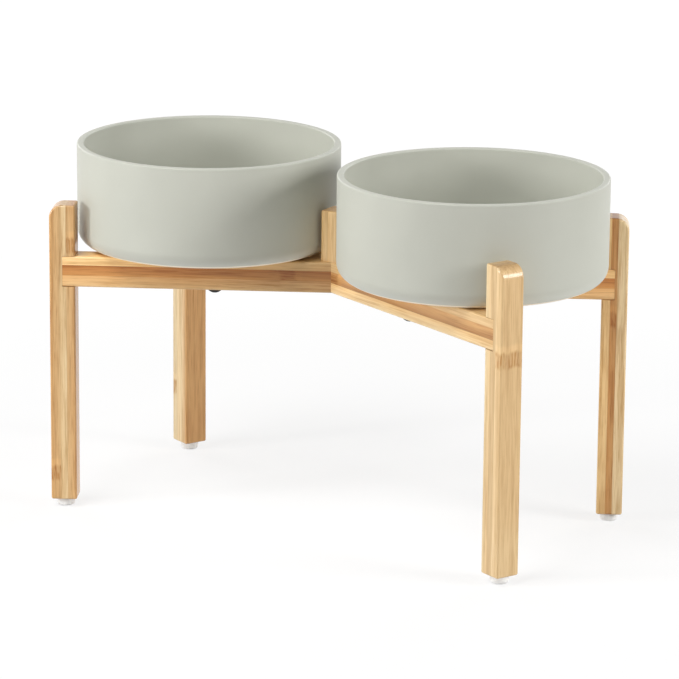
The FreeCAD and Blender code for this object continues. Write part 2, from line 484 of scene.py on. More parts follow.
@dataclass(frozen=True)
class GlazeFinish:
    """Satin grey-green glaze, with painted floor light and thinner glaze down the heel, stopping short of
    bare clay.
    """

    glaze: Colour = tone(193, 194, 183)
    thick: Colour = tone(189, 190, 179)
    # Paler glaze: thin spots in the specks, and painted floor light down the heel
    thin: Colour = tone(205, 207, 198)
    clay: Colour = tone(252, 243, 224)
    thin_and_lit_height: float = 12.0 * MM
    bare_height: float = 3.2 * MM
    bare_wander: float = 0.5 * MM
    bare_blur: float = 0.15 * MM

    def material(self, name: str, centre: Sequence[float]) -> bpy.types.Material:
        """Makes the glaze of one bowl.

        Args:
            name: The material's name.
            centre: The middle of the bowl's foot.

        Returns:
            The material.
        """
        sheet = FinishSheet(name)
        spot = sheet.place(centre)
        level = sheet.parts(spot)[2]
        cloud = sheet.noise(spot, 16.0, 3.0)
        speck = sheet.noise(spot, 900.0, 2.0)
        peel = sheet.noise(spot, 260.0, 2.0)
        colour = sheet.mix(cloud.ramp(0.30, 0.70), self.thick, self.glaze)
        colour = sheet.mix(speck.ramp(0.62, 0.80) * 0.25, colour, self.thin)
        # Painted floor light down the heel, which faces the floor, together with the glaze thinning over
        # the curve
        colour = sheet.mix(level.ramp(self.thin_and_lit_height, self.bare_height), colour, self.thin)
        edge = self.bare_height + (sheet.noise(spot, 140.0, 2.0) - 0.5) * self.bare_wander
        bare = (level - edge).ramp(self.bare_blur, -self.bare_blur)
        colour = sheet.mix(bare, colour, self.clay)
        return sheet.finish({
            "Base Color": colour,
            "Roughness": 0.40 + cloud * 0.10 + bare * 0.35,
            "Normal": sheet.bump(peel + speck * bare, 0.05 * MM, 0.35),
            "Specular IOR Level": 0.28,
        })


@dataclass(frozen=True)
class MouldedFinish:
    """A moulded finish, plastic or rubber, with a fine tool texture."""

    main: Colour
    worn: Colour
    roughness: float

    def material(self, name: str) -> bpy.types.Material:
        """Makes the moulded material.

        Args:
            name: The material's name.

        Returns:
            The material.
        """
        sheet = FinishSheet(name)
        spot = sheet.place()
        cloud = sheet.noise(spot, 220.0, 3.0)
        pebble = sheet.noise(spot, 1800.0, 2.0)
        return sheet.finish({
            "Base Color": sheet.mix(cloud.ramp(0.35, 0.75), self.main, self.worn),
            "Roughness": self.roughness + (pebble - 0.5) * 0.2,
            "Normal": sheet.bump(pebble, 0.04 * MM, 0.5),
        })


@dataclass(frozen=True)
class MetalFinish:
    """Plated or plain metal with fine turning marks and a dulled bloom."""

    bright: Colour
    dull: Colour
    roughness: float

    def material(self, name: str) -> bpy.types.Material:
        """Makes the metal.

        Args:
            name: The material's name.

        Returns:
            The material.
        """
        sheet = FinishSheet(name)
        spot = sheet.place()
        x, y, z = sheet.parts(spot)
        bloom = sheet.noise(spot, 350.0, 3.0)
        marks = sheet.noise(sheet.vector(x * 200, y * 200, z * 6000))
        return sheet.finish({
            "Base Color": sheet.mix(bloom.ramp(0.40, 0.75), self.bright, self.dull),
            "Metallic": 1.0,
            "Roughness": self.roughness + bloom * 0.15,
            "Normal": sheet.bump(marks, 0.02 * MM, 0.5),
        })


@dataclass(frozen=True)
class DowelFinish:
    """Pale turned wood with its grain along the stand."""

    pale: Colour = tone(226, 196, 152)
    dark: Colour = tone(196, 158, 110)

    def material(self, name: str) -> bpy.types.Material:
        """Makes the dowel wood.

        Args:
            name: The material's name.

        Returns:
            The material.
        """
        sheet = FinishSheet(name)
        x, y, z = sheet.parts(sheet.place())
        grain = sheet.noise(sheet.vector(x * 30, y * 900, z * 900))
        return sheet.finish({
            "Base Color": sheet.mix(grain.ramp(0.40, 0.70), self.pale, self.dark),
            "Roughness": 0.55 + grain * 0.15,
            "Normal": sheet.bump(grain, 0.05 * MM, 0.5),
        })


class Profile:
    """The half section of a turned form, as points of radius and height."""

    ARC_STEP = 9.0

    def __init__(self, radius: float, height: float) -> None:
        """Starts at one point."""
        self.points: List[Point] = [(radius, height)]

    def to(self, radius: float, height: float) -> "Profile":
        """Goes straight to a point."""
        self.points.append((radius, height))
        return self

    def arc(self, centre: Point, radius: float, start: float, end: float) -> "Profile":
        """Goes round an arc.

        Args:
            centre: The arc's centre, as radius and height.
            radius: The arc's own radius.
            start: The angle where it starts, in degrees up from outwards.
            end: The angle where it ends.

        Returns:
            The profile itself.
        """
        self.points.extend(arc_points(centre, radius, start, end, self.ARC_STEP))
        return self

    def mesh(self, name: str) -> bpy.types.Mesh:
        """Makes a mesh of the points, in order, joined by edges.

        Args:
            name: The mesh's name.

        Returns:
            The mesh.
        """
        mesh = bpy.data.meshes.new(name)
        places = [(radius, 0.0, height) for radius, height in self.points]
        mesh.from_pydata(places, [(i, i + 1) for i in range(len(places) - 1)], [])
        return mesh


def arc_points(centre: Point, radius: float, start: float, end: float, step: float) -> List[Point]:
    """Works out evenly spaced points of an arc.

    Args:
        centre: The arc's centre.
        radius: Its radius.
        start: The angle of the first point, in degrees.
        end: The angle of the last point, in degrees.
        step: About how many degrees lie between two points.

    Returns:
        The points, both ends included.
    """
    count = max(1, round(abs(end - start) / step))
    turns = [math.radians(start + (end - start) * i / count) for i in range(count + 1)]
    return [(centre[0] + radius * math.cos(t), centre[1] + radius * math.sin(t)) for t in turns]


def show(name: str, data: bpy.types.ID) -> bpy.types.Object:
    """Puts a mesh, a lamp or a camera into the scene under a name.

    Args:
        name: The name.
        data: The mesh, the lamp or the camera.

    Returns:
        The object that holds it.
    """
    piece = bpy.data.objects.new(name, data)
    bpy.context.scene.collection.objects.link(piece)
    return piece


def facing(place: Vector, way: Vector) -> Matrix:
    """Gives the lie of a thing at a place, with its own Z along a direction."""
    return Matrix.Translation(place) @ way.to_track_quat("Z", "Y").to_matrix().to_4x4()


def settle(piece: bpy.types.Object) -> None:
    """Turns a piece and its modifiers into a plain mesh.

    Args:
        piece: The piece.
    """
    graph = bpy.context.evaluated_depsgraph_get()
    mesh = bpy.data.meshes.new_from_object(piece.evaluated_get(graph), depsgraph=graph)
    piece.modifiers.clear()
    piece.data = mesh


def smooth(piece: bpy.types.Object, crease: float = 35.0) -> None:
    """Shades a piece smoothly up to a crease angle, with flat faces kept flat.

    Args:
        piece: The piece.
        crease: The angle from which an edge stays sharp, in degrees.
    """
    piece.data.shade_smooth()
    piece.data.set_sharp_from_angle(angle=math.radians(crease))
    weigh = piece.modifiers.new("flat_faces", "WEIGHTED_NORMAL")
    weigh.keep_sharp = True
    settle(piece)


def mount(piece: bpy.types.Object, body: str, slot: str, *nodes: str) -> None:
    """Sets a piece on its body, in the place of its nodes.

    Args:
        piece: The piece.
        body: The body that it rides on.
        slot: The name of a material slot; not used.
        nodes: The nodes that it stands for.
    """
    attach(piece, body)
    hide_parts(*nodes)
    LOG.info("%s: %d faces on %s for %s", piece.name, len(piece.data.polygons), body, ", ".join(nodes))


class TurnedForm:
    """A Geometry Nodes tree that turns a half section about the upright axis and sets it out on a grid."""

    SOCKETS = (
        ("Segments", "NodeSocketInt"),
        ("Columns", "NodeSocketInt"),
        ("Rows", "NodeSocketInt"),
        ("Spread", "NodeSocketVector"),
        ("Centre", "NodeSocketVector"),
        ("Finish", "NodeSocketMaterial"),
    )
    WELD = 0.002 * MM

    def __init__(self) -> None:
        """Builds the tree once, for every turned piece."""
        self.tree = bpy.data.node_groups.new("turned_form", "GeometryNodeTree")
        sheet = NodeSheet(self.tree)
        face = self.tree.interface
        face.new_socket("Section", in_out="INPUT", socket_type="NodeSocketGeometry")
        self.inputs = {
            name: face.new_socket(name, in_out="INPUT", socket_type=kind).identifier
            for name, kind in self.SOCKETS
        }
        result = face.new_socket("Form", in_out="OUTPUT", socket_type="NodeSocketGeometry").identifier
        section = sheet.node("NodeGroupInput")
        given = {name: section.also(identifier) for name, identifier in self.inputs.items()}
        form = self._turned(sheet, section, given["Segments"])
        form = self._set_out(sheet, form, given)
        inputs = {"Geometry": form, "Material": given["Finish"]}
        form = sheet.node("GeometryNodeSetMaterial", {}, inputs)
        sheet.add("NodeGroupOutput", {}, {result: form})

    def _turned(self, sheet: NodeSheet, section: Field, segments: Field) -> Field:
        """Bends a grid of section points by angles into the turned surface.

        Args:
            sheet: The tree's sheet.
            section: The half section, as a line of points.
            segments: How many faces go round.

        Returns:
            The closed surface.
        """
        count = sheet.node("GeometryNodeAttributeDomainSize", {}, {"Geometry": section})
        grid = sheet.node("GeometryNodeMeshGrid", {}, {
            "Size X": count - 1,
            "Size Y": 2 * math.pi,
            "Vertices X": count,
            "Vertices Y": segments + 1,
        })
        position = sheet.node("GeometryNodeInputPosition")
        column, angle, _ = sheet.parts(position)
        # A half is added because the index is cut down to a whole number
        index = column + (count - 1) * 0.5 + 0.5
        point = sheet.node(
            "GeometryNodeSampleIndex",
            {"data_type": "FLOAT_VECTOR"},
            {"Geometry": section, "Value": position, "Index": index},
        )
        about = {"rotation_type": "Z_AXIS"}
        turned = sheet.node("ShaderNodeVectorRotate", about, {"Vector": point, "Angle": angle})
        form = sheet.node("GeometryNodeSetPosition", {}, {"Geometry": grid, "Position": turned})
        return sheet.node("GeometryNodeMergeByDistance", {}, {"Geometry": form, "Distance": self.WELD})

    def _set_out(self, sheet: NodeSheet, form: Field, given: Dict[str, Field]) -> Field:
        """Sets copies of a form on a grid of columns and rows about a centre.

        Args:
            sheet: The tree's sheet.
            form: The turned form.
            given: The tree's inputs, by name.

        Returns:
            The copies, as real geometry.
        """
        width, depth, _ = sheet.parts(given["Spread"])
        spots = sheet.node("GeometryNodeMeshGrid", {}, {
            "Size X": width,
            "Size Y": depth,
            "Vertices X": given["Columns"],
            "Vertices Y": given["Rows"],
        })
        copies = sheet.node("GeometryNodeInstanceOnPoints", {}, {"Points": spots, "Instance": form})
        inputs = {"Geometry": copies, "Translation": given["Centre"]}
        moved = sheet.node("GeometryNodeTransform", {}, inputs)
        return sheet.node("GeometryNodeRealizeInstances", {}, {"Geometry": moved})

    def make(
        self,
        name: str,
        profile: Profile,
        finish: bpy.types.Material,
        **sizes: Any,
    ) -> bpy.types.Object:
        """Makes a turned piece.

        Args:
            name: The piece's name.
            profile: Its half section, run so that its outside lies to the left.
            finish: Its material.
            sizes: Values for the tree's other named inputs.

        Returns:
            The piece, as a plain mesh in its place.
        """
        piece = show(name, profile.mesh(name))
        turn = piece.modifiers.new("turned_form", "NODES")
        turn.node_group = self.tree
        for label, value in {"Columns": 1, "Rows": 1, **sizes, "Finish": finish}.items():
            turn[self.inputs[label]] = value
        settle(piece)
        smooth(piece)
        return piece


class Place(Enum):
    """The four corners of the stand, as signs of X and Y."""

    FRONT_LEFT = (-1, -1)
    BACK_LEFT = (-1, 1)
    FRONT_RIGHT = (1, -1)
    BACK_RIGHT = (1, 1)

    @property
    def label(self) -> str:
        """The corner's name in node names."""
        return self.name.lower()


@dataclass(frozen=True)
class StandPlan:
    """The stand's main sizes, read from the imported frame."""

    stock: float
    rail_top: float
    rail_bottom: float
    leg_top: float
    leg_bottom: float
    foot_x: float
    foot_y: float
    plug_x: float
    plug_y: float

    @classmethod
    def from_frame(cls) -> "StandPlan":
        """Reads the sizes off the boxes of the stand's nodes.

        Returns:
            The plan.
        """
        post_low, post_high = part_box("centre_post")
        rail_low, rail_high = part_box("rail_upper")
        leg_low, leg_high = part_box("leg_back_right")
        foot_low, foot_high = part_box("foot_back_right")
        plug_low, plug_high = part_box("grip_plug_back_right")
        return cls(
            stock=post_high.x - post_low.x,
            rail_top=rail_high.z,
            rail_bottom=rail_low.z,
            leg_top=leg_high.z,
            leg_bottom=leg_low.z,
            foot_x=(foot_low.x + foot_high.x) / 2,
            foot_y=(foot_low.y + foot_high.y) / 2,
            plug_x=(plug_low.x + plug_high.x) / 2,
            plug_y=(plug_low.y + plug_high.y) / 2,
        )

    @property
    def half_stock(self) -> float:
        """Half the width of a leg, a rail or the post."""
        return self.stock / 2

    @property
    def turn(self) -> float:
        """The angle between a rail and the line through the bowls, in radians."""
        return math.atan2(self.foot_y, self.foot_x)

    @property
    def reach(self) -> float:
        """The distance from the crossing to a leg's middle."""
        return math.hypot(self.foot_x, self.foot_y)

    @property
    def rail_middle(self) -> float:
        """The level where the two rails are lapped."""
        return (self.rail_top + self.rail_bottom) / 2

    def corner_turn(self, place: Place) -> float:
        """The direction of a corner from the crossing, in radians."""
        return math.atan2(place.value[1] * self.foot_y, place.value[0] * self.foot_x)


def extruded(outline: Sequence[Point], half_width: float) -> bmesh.types.BMesh:
    """Makes a closed prism from an outline.

    Args:
        outline: The outline in X and Z.
        half_width: How far the prism reaches to both sides along Y.

    Returns:
        The prism, with its faces outwards.
    """
    shape = bmesh.new()
    near = [shape.verts.new((x, -half_width, z)) for x, z in outline]
    far = [shape.verts.new((x, half_width, z)) for x, z in outline]
    shape.faces.new(near)
    shape.faces.new(reversed(far))
    for i in range(len(outline)):
        j = (i + 1) % len(outline)
        shape.faces.new((near[i], far[i], far[j], near[j]))
    bmesh.ops.recalc_face_normals(shape, faces=shape.faces)
    return shape


def oblong(half_width: float, low: float, high: float) -> List[Point]:
    """Gives the outline of a block between two levels."""
    return [(-half_width, low), (half_width, low), (half_width, high), (-half_width, high)]


def ease(shape: bmesh.types.BMesh, radius: float, steps: int, wanted: EdgeTest) -> None:
    """Rounds the edges of a shape that a test picks by their middle and direction.

    Args:
        shape: The shape.
        radius: The rounding's radius.
        steps: How many faces make the rounding.
        wanted: Tells from an edge's middle and direction whether it is rounded.
    """
    picked = []
    for edge in shape.edges:
        start, end = (v.co for v in edge.verts)
        if wanted((start + end) / 2, end - start):
            picked.append(edge)
    bmesh.ops.bevel(shape, geom=picked, offset=radius, segments=steps, profile=0.5, affect="EDGES")


def solid(name: str, shape: bmesh.types.BMesh, lie: Matrix) -> bpy.types.Object:
    """Puts a shape into the scene with its place in its mesh.

    Args:
        name: The object's name.
        shape: The shape, which is used up.
        lie: Its place.

    Returns:
        The object.
    """
    mesh = bpy.data.meshes.new(name)
    shape.transform(lie)
    shape.to_mesh(mesh)
    shape.free()
    return show(name, mesh)


def rod(name: str, diameter: float, start: Vector, end: Vector) -> bpy.types.Object:
    """Makes a round cutter from one point to another.

    Args:
        name: The cutter's name.
        diameter: Its diameter.
        start: The middle of its first end.
        end: The middle of its other end.

    Returns:
        The cutter.
    """
    shape = bmesh.new()
    run = end - start
    sizes = {"radius1": diameter / 2, "radius2": diameter / 2, "depth": run.length}
    bmesh.ops.create_cone(shape, cap_ends=True, segments=ROD_SEGMENTS, **sizes)
    return solid(name, shape, facing((start + end) / 2, run))


def carve(piece: bpy.types.Object, cutters: Sequence[bpy.types.Object]) -> None:
    """Cuts shapes out of a piece, and deletes them.

    Args:
        piece: The piece.
        cutters: The shapes that are cut out of it.
    """
    for cutter in cutters:
        cut = piece.modifiers.new(cutter.name, "BOOLEAN")
        cut.operation = "DIFFERENCE"
        cut.solver = "EXACT"
        cut.object = cutter
    settle(piece)
    for cutter in cutters:
        mesh = cutter.data
        bpy.data.objects.remove(cutter)
        bpy.data.meshes.remove(mesh)


def lay_bar(
    node: str,
    shape: bmesh.types.BMesh,
    lie: Matrix,
    cutters: Sequence[bpy.types.Object],
    bamboo: bpy.types.Material,
) -> None:
    """Turns the shape of a bar into its finished piece on the stand.

    Args:
        node: The node that the piece stands for.
        shape: The bar's shape.
        lie: Its place.
        cutters: What is cut out of it.
        bamboo: Its material.
    """
    piece = solid("bamboo_" + node, shape, lie)
    carve(piece, cutters)
    smooth(piece)
    piece.data.materials.append(bamboo)
    mount(piece, "stand", "bamboo", node)


@dataclass(frozen=True)
class Bowl:
    """A straight-sided bowl with a rounded heel, on a foot ring."""

    side: str
    wall: float = 5.5 * MM
    base: float = 6.5 * MM
    rim_edge: float = 1.3 * MM
    heel_radius: float = 12.5 * MM
    heel_lift: float = 0.7 * MM
    floor_radius: float = 16.0 * MM
    ring_height: float = 2.5 * MM
    ring_width: float = 7.0 * MM
    ring_inset: float = 20.0 * MM
    ring_edge: float = 0.8 * MM
    segments: int = 180

    def profile(self, radius: float, height: float) -> Profile:
        """Runs from the middle of the bowl's floor, over the rim and back under it.

        Args:
            radius: The bowl's outer radius.
            height: Its height.

        Returns:
            The half section.
        """
        inside = radius - self.wall
        rim = self.rim_edge
        floor = self.ring_height + self.base
        heel = radius - self.heel_radius
        outer = radius - self.ring_inset
        inner = outer - self.ring_width
        edge = self.ring_edge
        section = Profile(0.0, floor)
        section.arc((inside - self.floor_radius, floor + self.floor_radius), self.floor_radius, -90, 0)
        section.arc((inside + rim, height - rim), rim, 180, 90)
        section.arc((radius - rim, height - rim), rim, 90, 0)
        section.arc((heel, self.heel_lift + self.heel_radius), self.heel_radius, 0, -90)
        section.to(outer, 0.0)
        section.arc((inner + edge, edge), edge, -90, -180)
        section.to(inner, self.ring_height)
        return section.to(0.0, self.ring_height)

    def build(self, forms: TurnedForm, glaze: GlazeFinish) -> None:
        """Turns the bowl and sets it on its body.

        Args:
            forms: The tree that turns it.
            glaze: Its finish.
        """
        node = "bowl_" + self.side
        low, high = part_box(node)
        centre = ((low.x + high.x) / 2, (low.y + high.y) / 2, low.z)
        height = high.z - low.z
        finish = glaze.material("glaze_" + self.side, centre)
        profile = self.profile((high.x - low.x) / 2, height)
        piece = forms.make("glazed_" + node, profile, finish, Segments=self.segments, Centre=centre)
        mount(piece, self.side + "_bowl", "bowl_glaze", node)


@dataclass(frozen=True)
class Feet:
    """Four nail-on glides under the legs, each moulded round the head of its nail."""

    diameter: float = 14.0 * MM
    edge_radius: float = 2.2 * MM
    top_edge: float = 0.3 * MM
    cover: float = 2.0 * MM
    nail_diameter: float = 2.4 * MM
    nail_head_diameter: float = 7.0 * MM
    nail_head_height: float = 1.2 * MM
    segments: int = 64

    def profile(self, height: float) -> Profile:
        """Runs from the nail head's seat, out of the nail's hole and down to the floor.

        Args:
            height: The height of a foot.

        Returns:
            The half section.
        """
        radius = self.diameter / 2
        head_top = self.cover + self.nail_head_height
        section = Profile(0.0, self.cover)
        section.to(self.nail_head_diameter / 2, self.cover)
        section.to(self.nail_head_diameter / 2, head_top)
        section.to(self.nail_diameter / 2, head_top)
        section.to(self.nail_diameter / 2, height)
        section.arc((radius - self.top_edge, height - self.top_edge), self.top_edge, 90, 0)
        section.arc((radius - self.edge_radius, self.edge_radius), self.edge_radius, 0, -90)
        return section.to(0.0, 0.0)

    def build(self, forms: TurnedForm, plan: StandPlan, plastic: MouldedFinish) -> None:
        """Turns the feet and sets them under the legs.

        Args:
            forms: The tree that turns them.
            plan: The stand's main sizes.
            plastic: Their finish.
        """
        piece = forms.make(
            "glide_feet",
            self.profile(plan.leg_bottom),
            plastic.material("white_moulded"),
            Segments=self.segments,
            Columns=2,
            Rows=2,
            Spread=(2 * plan.foot_x, 2 * plan.foot_y, 0.0),
        )
        mount(piece, "stand", "white_plastic", *("foot_" + p.label for p in Place))


@dataclass(frozen=True)
class GripPlugs:
    """Four rubber plugs through the rails: a flat head under a bowl, a stem and a domed tail."""

    head_diameter: float = 14.0 * MM
    head_edge: float = 0.6 * MM
    stem_diameter: float = 8.0 * MM
    tail_diameter: float = 13.0 * MM
    segments: int = 64

    def profile(self, plan: StandPlan, low: float, high: float) -> Profile:
        """Runs from the middle of the head down to the middle of the tail.

        Args:
            plan: The stand's main sizes.
            low: The level of the tail's tip.
            high: The level of the head's top.

        Returns:
            The half section.
        """
        head = self.head_diameter / 2
        stem = self.stem_diameter / 2
        tail = self.tail_diameter / 2
        drop = plan.rail_bottom - low
        dome = (tail ** 2 + drop ** 2) / (2 * drop)
        spread = math.degrees(math.asin(tail / dome))
        section = Profile(0.0, high)
        section.arc((head - self.head_edge, high - self.head_edge), self.head_edge, 90, 0)
        section.to(head, plan.rail_top)
        section.to(stem, plan.rail_top)
        section.to(stem, plan.rail_bottom)
        return section.arc((0.0, low + dome), dome, spread - 90, -90)

    def build(self, forms: TurnedForm, plan: StandPlan, rubber: MouldedFinish) -> None:
        """Turns the plugs and sets them in the rails.

        Args:
            forms: The tree that turns them.
            plan: The stand's main sizes.
            rubber: Their finish.
        """
        low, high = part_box("grip_plug_back_right")
        piece = forms.make(
            "grip_plugs",
            self.profile(plan, low.z, high.z),
            rubber.material("black_moulded"),
            Segments=self.segments,
            Columns=2,
            Rows=2,
            Spread=(2 * plan.plug_x, 2 * plan.plug_y, 0.0),
        )
        mount(piece, "stand", "black_rubber", *("grip_plug_" + p.label for p in Place))


@dataclass(frozen=True)
class Joinery:
    """Sizes that the stand's bars share: their roundings, and the holes for what holds them together."""

    edge_radius: float = 1.5 * MM
    edge_steps: int = 4
    end_ease: float = 0.35 * MM
    end_steps: int = 2
    crown_radius: float = 10.0 * MM
    housing_depth: float = 10.0 * MM
    dowel_hole: float = 8.2 * MM
    dowel_in_leg: float = 6.5 * MM
    dowel_in_rail: float = 22.5 * MM
    nail_hole: float = 2.6 * MM
    nail_in_leg: float = 16.1 * MM
    plug_hole: float = 8.2 * MM
    bolt_hole: float = 6.6 * MM
    counterbore: float = 14.6 * MM
    counterbore_depth: float = 6.0 * MM
    insert_hole: float = 9.2 * MM
    insert_depth: float = 14.0 * MM
    overrun: float = 2.0 * MM


@dataclass(frozen=True)
class Leg:
    """A square leg, crowned at its outer top edge and housed on its inner side for a rail."""

    place: Place
    finish: BambooFinish
    plan: StandPlan
    joinery: Joinery = Joinery()

    def outline(self) -> List[Point]:
        """Runs round the leg's side, from its inner lower corner.

        Returns:
            The outline, as distances from the leg's middle and heights.
        """
        plan, half = self.plan, self.plan.half_stock
        crown = self.joinery.crown_radius
        notch = self.joinery.housing_depth - half
        points = [(-half, plan.leg_bottom), (half, plan.leg_bottom)]
        points += arc_points((half - crown, plan.leg_top - crown), crown, 0, 90, Profile.ARC_STEP)
        points += [(-half, plan.leg_top), (-half, plan.rail_top), (notch, plan.rail_top)]
        points += [(notch, plan.rail_bottom), (-half, plan.rail_bottom)]
        return points

    def is_rounded(self, middle: Vector, run: Vector) -> bool:
        """Tells the leg's own edges from those of the housing and of the crown's steps.

        Args:
            middle: The middle of an edge.
            run: The way from one end of it to the other.

        Returns:
            Whether the edge is rounded.
        """
        plan, half, tiny = self.plan, self.plan.half_stock, self.joinery.end_ease
        housed = plan.rail_bottom - tiny < middle.z < plan.rail_top + tiny and middle.x < half - tiny
        if housed:
            return False
        if abs(run.y) > tiny:
            at_foot = middle.z < plan.leg_bottom + tiny
            at_inner_top = middle.z > plan.leg_top - tiny and middle.x < -half + tiny
            return at_foot or at_inner_top
        return True

    def build(self) -> None:
        """Makes the leg and sets it on the stand."""
        plan, joinery = self.plan, self.joinery
        shape = extruded(self.outline(), plan.half_stock)
        ease(shape, joinery.edge_radius, joinery.edge_steps, self.is_rounded)
        turn = plan.corner_turn(self.place)
        lie = Matrix.Rotation(turn, 4, "Z") @ Matrix.Translation((plan.reach, 0, 0))
        node = "leg_" + self.place.label
        notch = joinery.housing_depth - plan.half_stock
        over = joinery.overrun
        dowel = [lie @ Vector((notch + x, 0, plan.rail_middle)) for x in (-over, joinery.dowel_in_leg)]
        nail = [lie @ Vector((0, 0, plan.leg_bottom + z)) for z in (-over, joinery.nail_in_leg)]
        cutters = [
            rod("dowel_hole", joinery.dowel_hole, *dowel),
            rod("nail_hole", joinery.nail_hole, *nail),
        ]
        x, y, _ = lie.translation
        bar = BarLie((x, y, 0.0), turn, Grain.UPRIGHT, plan.half_stock)
        lay_bar(node, shape, lie, cutters, self.finish.material(node + "_bamboo", bar))


class Lap(Enum):
    """Which half of a rail is cut away where the rails cross."""

    UPPER_HALF = 1
    LOWER_HALF = -1


@dataclass(frozen=True)
class Rail:
    """A rail from leg to leg, lapped half its height where the two rails cross."""

    node: str
    sign: int
    lap: Lap
    finish: BambooFinish
    plan: StandPlan
    joinery: Joinery = Joinery()

    def section(self) -> List[Point]:
        """Runs round the rail's rounded section.

        Returns:
            The outline, as distances from the rail's middle and heights.
        """
        radius, half = self.joinery.edge_radius, self.plan.half_stock
        step = 90.0 / self.joinery.edge_steps
        corners = [
            ((half - radius, self.plan.rail_bottom + radius), -90),
            ((half - radius, self.plan.rail_top - radius), 0),
            ((radius - half, self.plan.rail_top - radius), 90),
            ((radius - half, self.plan.rail_bottom + radius), 180),
        ]
        points: List[Point] = []
        for centre, start in corners:
            points += arc_points(centre, radius, start, start + 90, step)
        return points

    def cutters(self, turn: float, end: float) -> List[bpy.types.Object]:
        """Makes the shapes that are cut out of the rail.

        Args:
            turn: The rail's turn about the upright axis.
            end: The distance from the crossing to the rail's ends.

        Returns:
            The lap, and the holes for the bolt, plugs and dowels.
        """
        plan, joinery, over = self.plan, self.joinery, self.joinery.overrun
        lie = Matrix.Rotation(turn, 4, "Z")
        top = plan.rail_top + over
        bottom = plan.rail_bottom - over
        below = Vector((0, 0, bottom))
        levels = (plan.rail_middle, top) if self.lap is Lap.UPPER_HALF else (bottom, plan.rail_middle)
        block = extruded(oblong(plan.half_stock, *levels), end)
        found = [solid("lap", block, Matrix.Rotation(-turn + math.pi / 2, 4, "Z"))]
        found.append(rod("bolt_hole", joinery.bolt_hole, below, Vector((0, 0, top))))
        if self.lap is Lap.UPPER_HALF:
            seat = Vector((0, 0, plan.rail_bottom + joinery.counterbore_depth))
            found.append(rod("counterbore", joinery.counterbore, below, seat))
        plug = math.hypot(plan.plug_x, plan.plug_y)
        for way in (1, -1):
            run = [lie @ Vector((way * plug, 0, z)) for z in (bottom, top)]
            found.append(rod("plug_hole", joinery.plug_hole, *run))
            reach = (end - joinery.dowel_in_rail, end + over)
            run = [lie @ Vector((way * x, 0, plan.rail_middle)) for x in reach]
            found.append(rod("dowel_hole", joinery.dowel_hole, *run))
        return found

    def build(self) -> None:
        """Makes the rail and sets it on the stand."""
        plan, joinery = self.plan, self.joinery
        end = plan.reach - plan.half_stock + joinery.housing_depth
        turn = self.sign * plan.turn
        shape = extruded(self.section(), end)
        inside = end - joinery.end_ease
        ease(shape, joinery.end_ease, joinery.end_steps, lambda middle, run: abs(middle.y) > inside)
        lie = Matrix.Rotation(turn, 4, "Z") @ Matrix.Rotation(-math.pi / 2, 4, "Z")
        half_build = (plan.rail_top - plan.rail_bottom) / 2
        bar = BarLie((0.0, 0.0, plan.rail_middle), turn, Grain.LEVEL, half_build)
        bamboo = self.finish.material(self.node + "_bamboo", bar)
        lay_bar(self.node, shape, lie, self.cutters(turn, end), bamboo)


@dataclass(frozen=True)
class Post:
    """The short post on the crossing that keeps the bowls apart."""

    finish: BambooFinish
    plan: StandPlan
    joinery: Joinery = Joinery()

    def build(self) -> None:
        """Makes the post and sets it on the stand."""
        plan, joinery, half = self.plan, self.joinery, self.plan.half_stock
        foot = plan.rail_top
        shape = extruded(oblong(half, foot, plan.leg_top), half)
        above = foot + joinery.end_ease
        ease(shape, joinery.edge_radius, joinery.edge_steps, lambda middle, run: middle.z > above)
        hole = [Vector((0, 0, foot + z)) for z in (-joinery.overrun, joinery.insert_depth)]
        cutters = [rod("insert_hole", joinery.insert_hole, *hole)]
        bar = BarLie((0.0, 0.0, 0.0), 0.0, Grain.UPRIGHT, half)
        bamboo = self.finish.material("centre_post_bamboo", bar)
        lay_bar("centre_post", shape, Matrix.Identity(4), cutters, bamboo)


